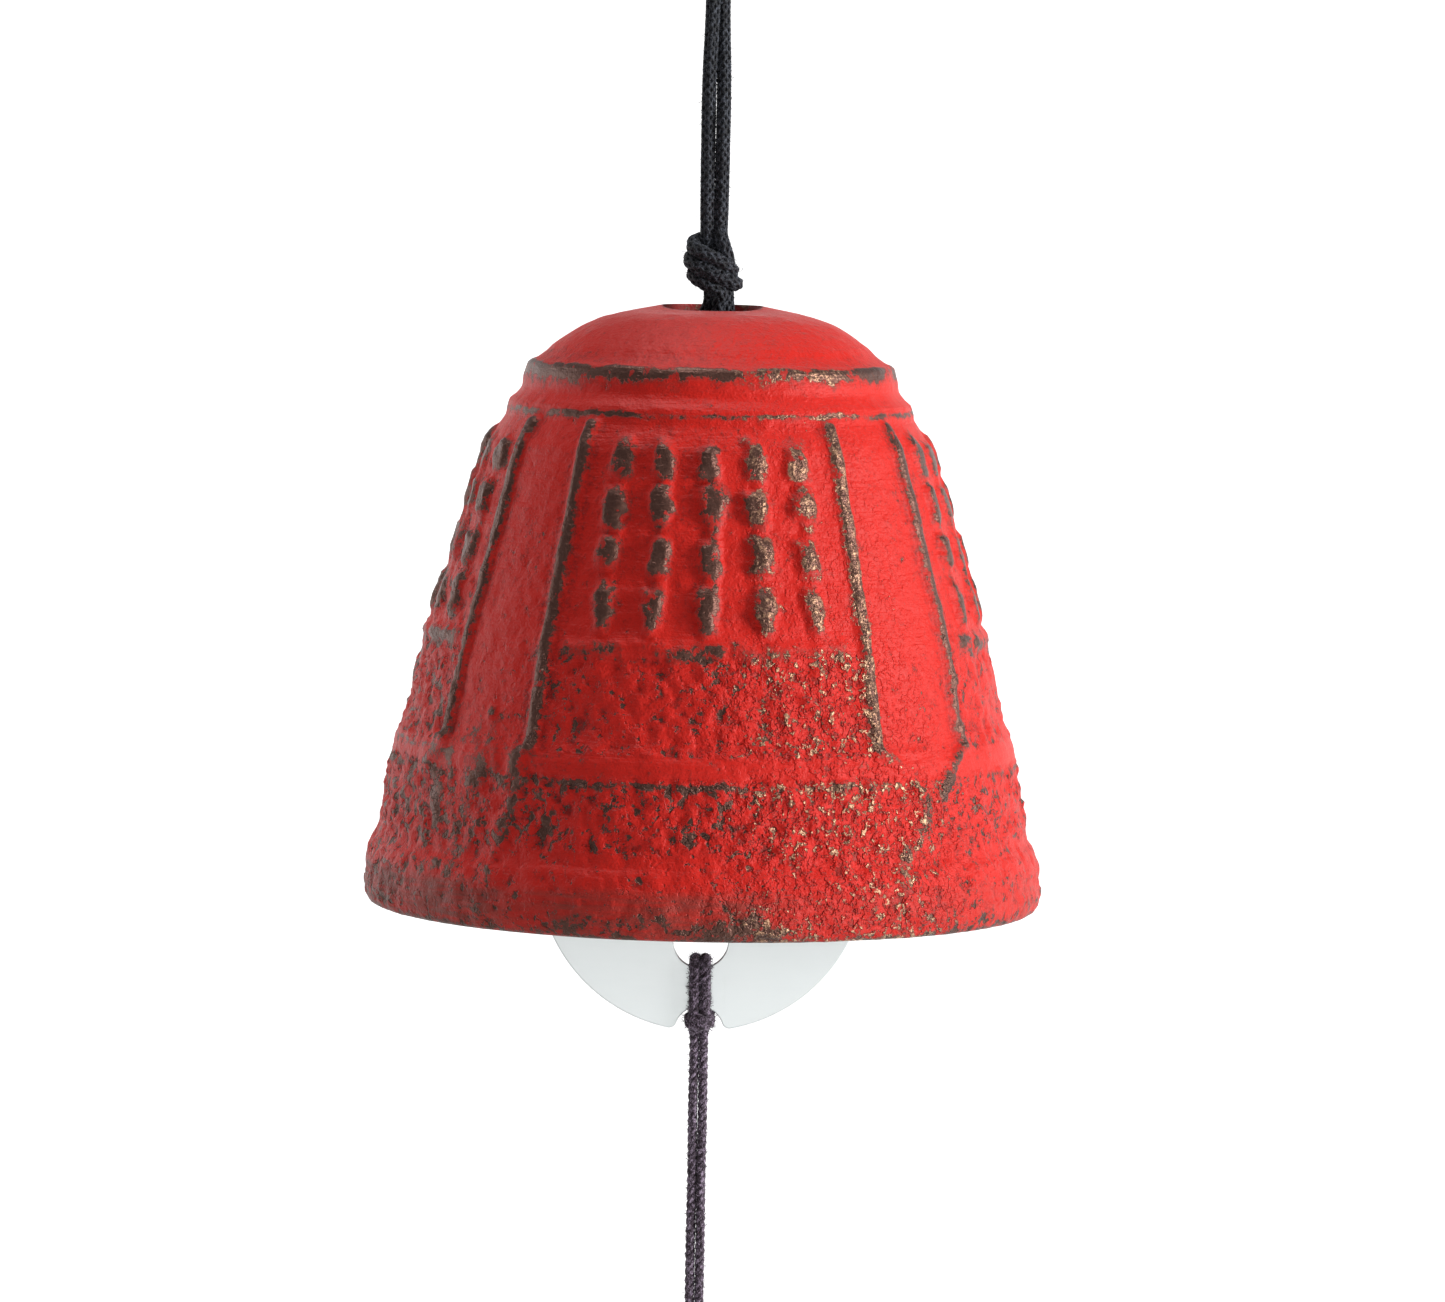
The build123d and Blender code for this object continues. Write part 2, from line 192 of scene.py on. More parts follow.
def painted_iron():
    """Red paint over sandy cast iron, worn to brown metal, with painted shade in its hollows and painted glints where
    the key lamp falls.
    """
    f = Finish("red paint over iron", Specular_IOR_Level=0.25, Sheen_Weight=0.11, Sheen_Roughness=0.45)
    wear, sand, painted_shade, painted_key_light, thin = (f.mark(name) for name in ("wear", "sand", "painted_shade", "painted_key_light", "thin"))
    # Grains in millimetres, the ragged edge of wear, and what breaks the paint: pits, specks, grit and blots. The grit
    # also carries painted glints
    coarse, middle, fine, broad = f.grain(1.7, 4), f.grain(0.75, 4), f.grain(0.26, 3), f.grain(14, 3)
    rag = (coarse - 0.5) * 0.95 + (middle - 0.5) * 0.9 + (fine - 0.5) * 0.6
    gate = f.ramp(sand + (coarse - 0.5) * 1.8, 0.25, 0.8)
    pit = f.ramp(f.grain(0.8, 2), 0.54, 0.64) * gate
    speck = (f.ramp(f.grain(0.38, 2), 0.6, 0.7)
        * f.ramp(sand * 0.7 + (middle - 0.5) * 1.6 + (broad - 0.5) * 0.8, 0.15, 0.55))
    # Grit lies only on the key-lit side, and its bared tops take painted glints
    grit_and_glint = f.ramp(f.grain(0.66, 2), 0.5, 0.63) * painted_key_light * sand
    blot = f.ramp(f.grain(1.5, 1, rough=0.35), 0.575, 0.615) * f.ramp(sand + (broad - 0.5) * 1.2, 0.42, 0.95)
    spared = f.ramp(f.grain(1.25, 2), 0.6, 0.7)
    # Fewer dark bare pits and blots on the key-lit side, which paints that side as lit
    worn = (wear + rag - spared * 0.42 + pit * (0.56 - 0.4 * painted_key_light) + blot * (0.62 - 0.3 * painted_key_light) + speck * 0.58
        + grit_and_glint * 0.46)
    bare = f.ramp(worn, 0.5, 0.6)
    # Share of deep paint: random mottling, plus painted shade from the shade mark and in pits; on the key-lit side the
    # mottling is painted weaker
    deep_paint_and_shade = (painted_shade + (broad - 0.5) * 0.9 + (middle - 0.5) * (1.9 - 0.9 * painted_key_light) + (fine - 0.5) * (1.6 - 0.8 * painted_key_light)
        + pit * 0.5 - grit_and_glint * 0.5)
    paint = f.mix(f.ramp(deep_paint_and_shade, 0.05, 1.15), "paint", "paint_deep_and_shade")
    paint = f.mix(f.ramp(wear + rag * 1.2 + pit * 0.4, 0.16, 0.55) * 0.5, paint, "paint_worn")
    streak = f.ramp(f.grain(0.5, 4, (0.1, 0.1, 1)), 0.36, 0.6)
    paint = f.mix(thin * (0.45 + 0.55 * streak), paint, "paint_thin")
    # Painted glints: bare iron turns bright gold on the key-lit side and on its grit
    rubbed = f.ramp(painted_key_light * 0.52 + grit_and_glint * 0.65 + (fine - 0.5) * 1.4 + (middle - 0.5) * 1.4, 0.4, 1.2)
    f.drive("Base Color", f.mix(bare, paint, f.mix(rubbed, "iron", "iron_rubbed_and_glint")))
    f.drive("Roughness", 0.42 + 0.18 * fine - 0.1 * bare)
    f.drive("Metallic", bare * 0.72)
    skin = (fine * 0.065 + middle * (0.11 + 0.18 * sand) + streak * 0.03 - pit * 0.16 - blot * 0.16 - speck * 0.07
        - bare * 0.05)
    f.relief(skin + coarse * sand * 0.18 + grit_and_glint * 0.34)
    return f


def drawn_steel():
    """Drawn wire with lines along its length."""
    f = Finish("drawn steel", Metallic=1.0)
    lines = f.grain(0.12, 3, (1, 0.05, 1))
    f.drive("Base Color", f.mix(lines, "steel", "steel_line"))
    f.drive("Roughness", 0.28 + 0.22 * f.grain(0.9, 3))
    f.relief(lines * 0.012)
    return f


def black_braid():
    """Black yarn with a faint nap, its paler specks partly painted highlights."""
    f = Finish("black braid", Sheen_Weight=0.04, Sheen_Roughness=0.5, Specular_IOR_Level=0.3)
    yarn, nap = f.grain(0.09, 3, (1, 1, 0.35)), f.grain(0.5, 3)
    pale = f.ramp(yarn + (nap - 0.5) * 0.5, 0.45, 0.72)
    f.drive("Base Color", f.mix(pale, "braid", "braid_nap_and_highlight"))
    f.drive("Roughness", 0.5 + 0.3 * nap)
    f.relief(yarn * 0.05)
    return f


def dark_thread():
    """Dark twisted thread whose paler loose fibres are partly painted highlights."""
    f = Finish("dark thread", Sheen_Weight=0.22, Sheen_Roughness=0.45, Specular_IOR_Level=0.3)
    yarn, nap = f.grain(0.1, 3, (1, 1, 0.4)), f.grain(0.45, 3)
    pale = f.ramp(yarn + (nap - 0.5) * 0.7, 0.46, 0.7)
    f.drive("Base Color", f.mix(pale, "thread", "thread_nap_and_highlight"))
    f.drive("Roughness", 0.6 + 0.25 * nap)
    f.relief(yarn * 0.06)
    return f


def sheet_metal():
    """Pale sheet metal with a rolled grain and faint scratches."""
    f = Finish("pale sheet metal", Metallic=0.75)
    rolled, cloud = f.grain(0.25, 3, (0.06, 1, 1)), f.grain(6, 3)
    scratch = f.ramp(f.grain(0.5, 2, (1, 1, 0.04)), 0.7, 0.78)
    f.drive("Base Color", f.mix(cloud * 0.5 + rolled * 0.3, "plate", "plate_cloud"))
    f.drive("Roughness", 0.34 + 0.06 * rolled + 0.1 * scratch)
    f.relief(rolled * 0.002 - scratch * 0.004)
    return f


def strip_paper():
    """Plain stiff paper with long fibres."""
    f = Finish("plain paper", Specular_IOR_Level=0.3)
    fibre, cloud = f.grain(0.35, 4, (1, 1, 0.25)), f.grain(9, 3)
    dark = f.ramp(fibre, 0.5, 0.75) * 0.35 + cloud * 0.3
    f.drive("Base Color", f.mix(dark, "paper", "paper_fibre"))
    f.drive("Roughness", 0.82 + 0.12 * fibre)
    f.relief(fibre * 0.02 + cloud * 0.01)
    return f


made_finishes = {}


def once(finish):
    """A finish's material, made the first time that it is asked for."""
    if finish not in made_finishes:
        made_finishes[finish] = finish().material
    return made_finishes[finish]


# Shared ways of making pieces

# Steps along a yarn, a hair's line and a braid's core, and the radius of the loose hairs, in metres
YARN_STEP, HAIR_STEP, CORE_STEP = 0.00016, 0.0001, 0.0005
BRAID_HAIR, THREAD_HAIR = 0.000016, 0.000024
# Faces that meet above this angle stay sharp: on turned and cast pieces, on knotted or spun ones, and on
# sheets, whose flats stay flat beside their rounded edges
TURNED_SMOOTH, SPUN_SMOOTH, FLAT_SMOOTH = 40, 80, 15
# Rounding of the pin's and the paper's edges, and how far the paper bows, in metres
PIN_EDGE, PAPER_EDGE, PAPER_BOW = 0.00022, 0.00006, 0.0012


def settle(piece, finish, body, slot, *nodes):
    """Gives a piece its finish and its body, and hides the CAD nodes that it stands for. The slot is not used."""
    piece.data.materials.clear()
    piece.data.materials.append(once(finish))
    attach(piece, body)
    if nodes:
        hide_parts(*nodes)
    return piece


def placed(name, data):
    """A new object of this data, in the scene."""
    made = bpy.data.objects.new(name, data)
    bpy.context.scene.collection.objects.link(made)
    return made


def mesh_of(name, curve):
    """A curve's shape as a mesh, in place of the curve."""
    holder = placed(name, curve)
    mesh = bpy.data.meshes.new_from_object(holder)
    bpy.data.objects.remove(holder)
    bpy.data.curves.remove(curve)
    return mesh


def piece_of(shape, name, smooth=TURNED_SMOOTH):
    """A bmesh turned into a piece, smooth where its faces meet below this angle."""
    mesh = bpy.data.meshes.new(name)
    shape.to_mesh(mesh)
    shape.free()
    for polygon in mesh.polygons:
        polygon.use_smooth = True
    mesh.set_sharp_from_angle(angle=math.radians(smooth))
    return placed(name, mesh)


def route_line(name, points):
    """The points in metres that a smooth NURBS route passes through, from control points in millimetres."""
    curve = bpy.data.curves.new(name, "CURVE")
    curve.dimensions = "3D"
    spline = curve.splines.new("NURBS")
    spline.points.add(len(points) - 1)
    for place, point in zip(spline.points, points):
        place.co = (*(c * MM for c in point), 1)
    spline.order_u = 3
    spline.use_endpoint_u = True
    spline.resolution_u = 16
    mesh = mesh_of(name, curve)
    line = np.empty(3 * len(mesh.vertices))
    mesh.vertices.foreach_get("co", line)
    bpy.data.meshes.remove(mesh)
    return line.reshape(-1, 3)


def length_of(line):
    return float(np.linalg.norm(np.diff(line, axis=0), axis=1).sum())


def stations_along(line, pitch):
    """The line at even steps, with its run in metres and two directions across it that don't twist."""
    runs = np.concatenate([[0], np.cumsum(np.linalg.norm(np.diff(line, axis=0), axis=1))])
    count = max(int(runs[-1] / pitch), 8)
    at = np.linspace(0, runs[-1], count + 1)
    points = np.stack([np.interp(at, runs, line[:, i]) for i in range(3)], 1)
    ahead = np.gradient(points, axis=0)
    ahead /= np.linalg.norm(ahead, axis=1)[:, None]
    across = np.empty_like(points)
    side = np.cross(ahead[0], (0.0, 1.0, 0.0))
    if np.linalg.norm(side) < 0.1:
        side = np.cross(ahead[0], (1.0, 0.0, 0.0))
    for i, forward in enumerate(ahead):
        side = side - forward * (side @ forward)
        side /= np.linalg.norm(side)
        across[i] = side
    return at, points, across, np.cross(ahead, across)


def yarns_mesh(name, yarns, radius, sides=1):
    """Round yarns along their own points, all in one mesh."""
    curve = bpy.data.curves.new(name, "CURVE")
    curve.dimensions = "3D"
    curve.bevel_depth = radius
    curve.bevel_resolution = sides
    curve.use_fill_caps = True
    for points in yarns:
        spline = curve.splines.new("POLY")
        spline.points.add(len(points) - 1)
        spline.points.foreach_set("co", np.hstack([points, np.ones((len(points), 1))]).ravel())
    return mesh_of(name, curve)


def braid_yarns(line, radius, carriers=12, turn=0.0058):
    """Yarns of a round braid: half wind each way and pass over and under each other."""
    at, points, across, up = stations_along(line, YARN_STEP)
    middle, lift = radius * 0.82, radius * 0.07
    yarns = []
    for carrier in range(carriers):
        way = 1 if carrier % 2 else -1
        angle = way * 2 * math.pi * at / turn + 2 * math.pi * carrier / carriers
        out = middle + way * lift * np.cos(carriers * math.pi * at / turn)
        yarns.append(points + out[:, None] * (np.cos(angle)[:, None] * across + np.sin(angle)[:, None] * up))
    return yarns


def twist_yarns(line, radius, plies=3, turn=0.0027, start=0.0):
    """Plies of a twisted thread."""
    at, points, across, up = stations_along(line, YARN_STEP)
    yarns = []
    for ply in range(plies):
        angle = 2 * math.pi * (at / turn + ply / plies) + start
        yarns.append(points + radius * 0.5 * (np.cos(angle)[:, None] * across + np.sin(angle)[:, None] * up))
    return yarns


def fibres(line, radius, count, seed):
    """Loose fibres that stand off a thread."""
    rng = np.random.default_rng(seed)
    at, points, across, up = stations_along(line, HAIR_STEP)
    hairs = []
    for i in rng.integers(4, len(points) - 8, count):
        angle, lean = rng.uniform(0, 2 * math.pi, 2)
        out = math.cos(angle) * across[i] + math.sin(angle) * up[i]
        along = (points[i + 4] - points[i]) / np.linalg.norm(points[i + 4] - points[i])
        side = np.cross(along, out)
        reach = radius * rng.uniform(0.25, 0.7)
        foot = points[i] + out * radius * 0.85
        bend = foot + out * reach * 0.6 + along * reach * 0.5 * math.cos(lean)
        tip = foot + out * reach + (along * math.cos(lean) + side * math.sin(lean)) * reach
        hairs.append(np.stack([foot, bend, tip]))
    return hairs


def joined(meshes, name):
    """Several meshes as one."""
    shape = bmesh.new()
    for mesh in meshes:
        shape.from_mesh(mesh)
        bpy.data.meshes.remove(mesh)
    return piece_of(shape, name, SPUN_SMOOTH)


def braided_piece(name, body, nodes, routes, radius):
    """A piece of black braid along one or more routes, for these CAD nodes, and the routes' lines."""
    lines = [route_line(name, route) for route in routes]
    meshes = []
    for i, line in enumerate(lines):
        meshes.append(yarns_mesh(name, braid_yarns(line, radius), radius * 0.25))
        meshes.append(yarns_mesh(name, [stations_along(line, CORE_STEP)[1]], radius * 0.8, 3))
        hair = fibres(line, radius * 1.1, int(length_of(line) * 5000), len(name) + i)
        meshes.append(yarns_mesh(name, hair, BRAID_HAIR, 0))
    return settle(joined(meshes, name), black_braid, body, "black_cord", *nodes), lines


def threaded_piece(name, body, nodes, routes, radius, hairs=9):
    """A piece of dark thread along one or more routes, with so many hairs a millimetre, and the routes' lines."""
    lines = [route_line(name, route) for route in routes]
    meshes = []
    for i, line in enumerate(lines):
        meshes.append(yarns_mesh(name, twist_yarns(line, radius, start=i * 1.3), radius * 0.58, 2))
        hair = fibres(line, radius, int(length_of(line) * 1000 * hairs), len(name) + i)
        meshes.append(yarns_mesh(name, hair, THREAD_HAIR, 0))
    return settle(joined(meshes, name), dark_thread, body, "dark_cord", *nodes), lines


def shifted(route, z=0.0, scale=1.0, mirror=(1, 1, 1)):
    """A route scaled and mirrored about the origin, then raised."""
    return [tuple(c * scale * m + rise for c, m, rise in zip(p, mirror, (0, 0, z))) for p in route]


def both_ends(half, mirror=(-1, 1, 1)):
    """A route made of one half and its mirror image."""
    return half + [tuple(c * m for c, m in zip(p, mirror)) for p in reversed(half)]


# Routes of the cords, in millimetres: the ends run on into the knots that hold them. A doubled cord has
# its right strand here, and the left one is the same turned half round

SIDES = ("right", 1), ("left", -1)
EYE_HALF = [(0.8, 0, -12.6), (0.8, 0, -7.6), (2.95, 0, -3.675), (2.95, 0, 0.75)]
HANGING_RIGHT = [(0.78, 0, -9.6), (0.5, 0.6, -14.0), (0.6, 0.5, -18.0), (0.8, 0.15, -23.5), (0.78, -0.15, -29.0),
    (0.77, 0.1, -34.0), (0.72, 0, -38.0), (0.58, 0.1, -43.4)]
BIGHT = [(-0.5, 0.1, -41.6), (-0.22, 0, -45.0), (-0.2, 0, -47.3), (-2.25, 0, -50.2), (-2.25, 0, -53.9),
    (2.25, 0, -53.9), (2.25, 0, -50.2), (1.5, 0, -47.3), (1.46, 0, -45.0), (0.9, 0.1, -41.6)]
SHOULDER = [(0.6, -0.1, -39.2), (1.0, -0.75, -40.6), (1.5, -0.75, -42.0), (1.6, 0.3, -43.2), (0.8, 0.5, -44.6)]
WRAP = [(0.5, 0.3, -40.4), (-1.0, 1.1, -39.9), (-2.25, 0.5, -40.3), (-2.35, -1.0, -41.0), (-0.6, -1.75, -41.7),
    (1.3, -1.6, -42.6), (2.2, -0.6, -43.3), (1.9, 1.1, -43.3), (0.2, 1.7, -42.7), (-1.8, 1.3, -41.9),
    (-2.75, 0.2, -42.0), (-2.35, -1.2, -42.7), (-0.5, -1.85, -43.4), (1.5, -1.65, -44.2), (2.75, -0.5, -44.7),
    (2.3, 1.1, -44.6), (0.4, 1.6, -44.0), (-1.6, 1.2, -43.4), (-2.4, 0.0, -43.6), (-1.7, -1.2, -44.3),
    (0.0, -1.45, -45.1), (1.2, -1.1, -45.8), (0.7, -0.95, -46.6), (0.6, -0.5, -47.6), (0.6, 0, -48.6)]
LOOP_HALF = [(0.5, 0, -59.6), (0.55, 0.55, -57.15), (1.75, 2.2, -54.25), (1.75, 2.2, -49.9)]
CLAPPER_RIGHT = [(0.5, 0, -58.4), (0.55, 0, -63.0), (0.58, 0.04, -72.0), (0.53, -0.04, -81.0), (0.52, 0, -91.0)]
WIND_RIGHT = [(0.5, 0, -122.7), (0.48, 0, -127.0), (0.54, 0.05, -133.0), (0.46, -0.05, -139.0), (0.52, -0.05, -146.0),
    (0.5, 0, -152.0), (0.5, 0, -158.2)]
PAPER_HALF = [(0, 0.45, -158.4), (0, 0.55, -159.8), (0, 1.0, -160.8), (0, 1.0, -164.8)]
LEG = [(0.5, 0.1, -124.3), (0.56, 1.05, -122.4), (0.54, 1.1, -119.4), (0.54, 1.1, -116.45), (0.54, -1.1, -116.45),
    (0.57, -1.15, -119.4), (0.58, -1.1, -122.2), (0.5, -0.2, -124.4)]
CROSS = [(0.2, 0.8, -122.3), (1.1, 0.75, -122.5), (1.42, -0.2, -122.6), (0.8, -1.25, -122.75), (-0.7, -1.3, -122.8),
    (-1.4, -0.3, -122.8), (-1.0, 0.9, -122.9), (0.3, 1.15, -123.0), (1.25, 0.7, -123.15), (1.4, -0.4, -123.3),
    (0.65, -1.25, -123.5), (-0.75, -1.2, -123.45), (-1.3, -0.2, -123.3), (-0.8, 0.7, -123.1), (0, 0.4, -122.9)]
PLATE_Z = -106.7
# How far the crown knot lies below the origin, and the height and size beside it of the other knots
KNOT_DEPTH = 43.0
TOP_KNOT, CLAPPER_KNOT, PAPER_KNOT = (-10.5, 0.8), (-59.05, 0.52), (-158.0, 0.5)
# How far the turns are drawn in on the crown and across a hitch, and how thick a cord is in its knot
CROWN_TIGHT, CROSS_TIGHT = 0.93, 0.84
IN_KNOT, IN_HITCH, IN_PAPER_KNOT = 0.92, 1.18, 0.88


def knot_routes(z, scale):
    """The same knot as on the crown, drawn up tight round another height."""
    lift = z + KNOT_DEPTH * scale
    turns = (WRAP, (1, 1, 1)), (SHOULDER, (1, 1, 1)), (SHOULDER, (-1, -1, 1))
    return [shifted(route, z=lift, scale=scale, mirror=mirror) for route, mirror in turns]


# The casting's outline, as shares of the lip radius and of the height, from the crown down, the corners
# of it that have a name, and the inside in millimetres from the rim up

OUTLINE = ((0.1472, 0.0), (0.318, 0.018), (0.408, 0.043), (0.458, 0.066), (0.53, 0.094), (0.55, 0.1344),
    (0.562, 0.146), (0.586, 0.1604), (0.592, 0.1753), (0.65, 0.2264), (0.8208, 0.5409), (0.879, 0.684), (0.91, 0.7217),
    (0.9185, 0.7531), (0.953, 0.8726), (0.98, 0.92), (1.000, 0.964), (0.983, 1.0))
INSIDE = ((31.99, -110.6), (26.7, -81.9), (20.9, -62.9), (17.0, -55.2), (8.55, -50.4), (5.3, -50.4))
CORNERS = {"ridge": 4, "ridge_foot": 5, "collar": 7, "collar_foot": 8, "shoulder": 9, "foot": 10, "panel": 11,
    "band": 12, "band_foot": 13, "skirt": 14, "lip": 15, "bulge": 16}
# Half a panel's width and the pitch of its bosses in degrees, the first and last row of bosses as shares
# of the panel's height, a boss's half width and half height in millimetres, and its squareness
PANEL_HALF = 33.5
BOSS_PITCH = 11.25
FIRST_ROW, LAST_ROW = 0.03, 0.78
BOSS_HALF, BOSS_TALL, BOSS_SQUARE = 1.0, 1.62, 3.2
# Two of the bands have a seat for striking, raised by this much
SEAT_ANGLES, SEAT_RELIEF = (-135, 45), 0.22
# Radius of the crown's hole, past its rounded edge, and how far the face falls away in front of it
HOLE_RADIUS, DIP = 5.45, 0.45


def step(low, high, value):
    """A soft step from 0 to 1 between two levels."""
    share = np.clip((value - low) / (high - low), 0, 1)
    return share * share * (3 - 2 * share)


def fall(low, high, value):
    """A soft step from 1 to 0 between two levels."""
    return 1 - step(low, high, value)


def lumps(points, size, seed):
    """Smooth noise from -1 to 1 whose lumps are this many millimetres wide."""
    table = np.random.default_rng(seed).random((32, 32, 32)) * 2 - 1
    place = points / size + 1000.0
    cell = np.floor(place).astype(int)
    share = place - cell
    share = share * share * (3 - 2 * share)
    total = np.zeros(len(points))
    for corner in range(8):
        pick = [(corner >> axis) & 1 for axis in range(3)]
        weight = np.ones(len(points))
        for axis in range(3):
            weight *= share[:, axis] if pick[axis] else 1 - share[:, axis]
        total += weight * table[tuple((cell[:, axis] + pick[axis]) % 32 for axis in range(3))]
    return total


def near_line(across, down, path):
    """Distance from places on the unrolled wall to a line of straight runs."""
    best = np.full(len(across), 1e9)
    for (a0, d0), (a1, d1) in zip(path, path[1:]):
        run = np.array([a1 - a0, d1 - d0])
        t = np.clip(((across - a0) * run[0] + (down - d0) * run[1]) / (run @ run), 0, 1)
        best = np.minimum(best, np.hypot(across - a0 - t * run[0], down - d0 - t * run[1]))
    return best


def block(across, down):
    """Distance from a rounded block's middle, 1 at its edge, from shares of its half width and half height."""
    return (across ** BOSS_SQUARE + down ** BOSS_SQUARE) ** (1 / BOSS_SQUARE)


def casting_relief(points, sizes):
    """How far each point of the casting stands off its outline, in millimetres, and the marks for its finish, painted
    shade and a painted key light among them.

    turn runs from -45 to 45 degrees over each panel, azimuth from -180 to 180 with 0 in front, span is the
    depth below the crown, and at holds the depths of the corners that have a name.
    """
    x, y, z = points.T
    r = np.hypot(x, y)
    bearing = np.degrees(np.arctan2(y, x))
    turn = (bearing + 135) % 90 - 45
    quarter = ((bearing + 135) % 360 // 90).astype(int)
    azimuth = (bearing + 270) % 360 - 180
    outline = np.array([(a * sizes.lip_radius, b * sizes.bell_height) for a, b in OUTLINE]) / MM
    wall = np.interp(-z + CROWN, outline[:-1, 1], outline[:-1, 0])
    inner = np.interp(-z, [-p[1] for p in INSIDE[::-1]][1:], [p[0] for p in INSIDE[::-1]][1:])
    outside = r > (wall + inner) / 2
    outside |= (z > CROWN - 2.0)
    span = CROWN - z
    height = outline[-1, 1]
    at = SimpleNamespace(**{name: OUTLINE[i][1] * height for name, i in CORNERS.items()})
    # Lumps in the skin, from their seed and their size in millimetres
    coarse, middle, small, broad = (lumps(points, s, i) for i, s in ((11, 1.9), (12, 1.15), (13, 0.75), (14, 9.0)))
    slow = lumps(points, 4.5, 15)
    relief, wear, painted_shade = (np.zeros(len(points)) for _ in range(3))

    # Bosses
    row_pitch = (LAST_ROW - FIRST_ROW) / 3 * (at.foot - at.shoulder)
    first = at.shoulder + FIRST_ROW * (at.foot - at.shoulder)
    wander = 0.42 * lumps(points, 1.2, 16), 0.42 * lumps(points, 1.2, 17)
    column = np.clip(np.round(turn / BOSS_PITCH), -2, 2).astype(int)
    row = np.clip(np.round((span - first) / row_pitch), 0, 3).astype(int)
    rng = np.random.default_rng(5)
    ranges = (0.85, 1.15), (0.85, 1.15), (0.8, 1.1), (-0.25, 0.25), (-0.3, 0.3), (-0.15, 0.12)
    own = quarter, column + 2, row
    width, tall, lift, aside, drop, rub = (rng.uniform(a, b, (4, 5, 4))[own] for a, b in ranges)
    top_row, low_row = row == 0, row == 3
    across = np.radians(turn - column * BOSS_PITCH) * r - aside + wander[0]
    down = span - first - row * row_pitch - drop + wander[1]
    tip = 1 + 0.35 * step(0.6, 1.9, down) * low_row
    across, down = across + 0.22 * small, down + 0.22 * small - 0.45 * top_row - 0.6 * low_row
    above = np.abs(down) / (BOSS_TALL * tall + 0.5 * low_row)
    boss = fall(0.72, 1.55, block(np.abs(across) * tip / (BOSS_HALF * width), above))
    edge = PANEL_HALF - 2.5
    inside_panel = step(-edge, 2 - edge, turn) * step(-edge, 2 - edge, -turn)
    field = step(at.shoulder - 3.2, at.shoulder - 2.4, span) * fall(at.foot - 2.2, at.foot - 0.6, span) * inside_panel
    boss *= field
    relief += (boss * lift * sizes.boss_relief / MM * (1 - 0.35 * top_row * (np.abs(column) > 0))
        * (1 - 0.3 * step(62, 84, np.abs(azimuth)) * (1 + 0.6 * top_row)))
    rubbed = block(np.abs(across - 0.22) * tip / (BOSS_HALF * width), above)
    wear += fall(0.45, 1.95, rubbed) * field * (0.86 + rub)
    # A low ridge joins the bosses of a column
    ridge_side = np.radians(turn - column * BOSS_PITCH) * r - 0.35 + 0.5 * wander[0]
    rib = fall(0.25, 1.15, np.abs(ridge_side)) * field * step(first - 1.0, first + 1.0, span)
    strength = (np.where(np.abs(column) < 2, 1.0, 0.55) * step(-0.5, 0.5, slow + 0.35)
        * (0.8 + 0.35 * step(first, first + 2.2 * row_pitch, span)))
    relief = np.maximum(relief, 0.3 * rib * strength)
    wear = np.maximum(wear, rib * strength * (0.46 + 0.4 * middle + 0.15 * small))
    # Painted shade in the grooves round the bosses, which are also sunk a little
    groove = field * (1 - boss) * (1 - rib)
    relief -= 0.12 * groove
    painted_shade += 0.15 * groove

    # Beads at the edges of the panels, drawn in to a waist on the middle band and spread again. On the left
    # front band one of them leans outward and the other stands upright instead
    off_band = (45 - np.abs(turn)) * math.radians(1) * r
    edge_arc = (45 - PANEL_HALF) * math.radians(1) * np.interp(span, outline[:-1, 1], outline[:-1, 0])
    straight = np.abs(off_band - edge_arc)
    bead_zone = step(at.collar_foot - 0.1, at.collar_foot + 1.0, span) * fall(at.panel + 1.0, at.panel + 2.2, span)
    wobble = 0.12 * lumps(points, 3.0, 18)
    bead = fall(0.42, 0.98, straight + wobble) * bead_zone
    neck = (at.band + at.band_foot) / 2
    low = at.skirt + 0.5
    crossed = [(6.2, at.panel + 0.6), (5.6, at.band - 0.9), (3.6, at.band + 0.7), (1.6, at.band_foot + 1.0),
        (0.9, at.band_foot + 2.4), (1.4, at.skirt - 3.3), (3.4, at.skirt - 1.1), (5.2, low), (6.0, at.lip - 0.5)]
    outward = [(-5.6, at.panel), (-6.3, at.band - 0.6), (-8.9, at.band + 0.7), (-8.7, at.band_foot + 2.0),
        (-7.8, at.skirt), (-7.6, at.lip - 1.0)]
    upright = [(5.6, at.panel + 1.0), (5.3, at.band), (5.4, at.band_foot), (6.0, at.band_foot + 2.0),
        (4.3, at.skirt - 1.5), (3.4, at.skirt + 1.5), (4.4, at.lip - 0.3)]
    signed = -np.sign(turn) * off_band
    left_band = (azimuth > -90) & (azimuth < 0)
    reach = np.where(left_band, np.minimum(near_line(signed, span, outward), near_line(signed, span, upright)),
        near_line(off_band, span, crossed))
    below = step(at.panel + 0.6, at.panel + 1.6, span)
    waist = fall(0.35, 1.0 + 0.5 * left_band, reach + 2 * wobble) * below
    bead_height = sizes.bead_relief / MM
    relief += bead * bead_height + waist * bead_height * (0.75 - 0.35 * step(neck, low, span)) * (1 - 0.35 * left_band)
    wear = np.maximum(wear, fall(0.1, 1.35, straight + wobble) * bead_zone * (0.9 + 0.12 * slow))
    blotched = 0.4 + 0.24 * slow + 0.34 * middle + 0.26 * small
    blotched = (blotched + 0.12 * (left_band & (signed > 0)) - 0.12 * (left_band & (signed < 0))
        + 0.34 * (~left_band & (signed > 0)) * fall(at.band_foot + 1.0, at.band_foot + 3.0, span))
    wear = np.maximum(wear, fall(0.2, 1.3, reach + 2 * wobble) * below * blotched)
    # Painted shade along the feet of the beads
    painted_shade += 0.4 * fall(0.2, 0.9, np.abs(straight - 1.25)) * bead_zone

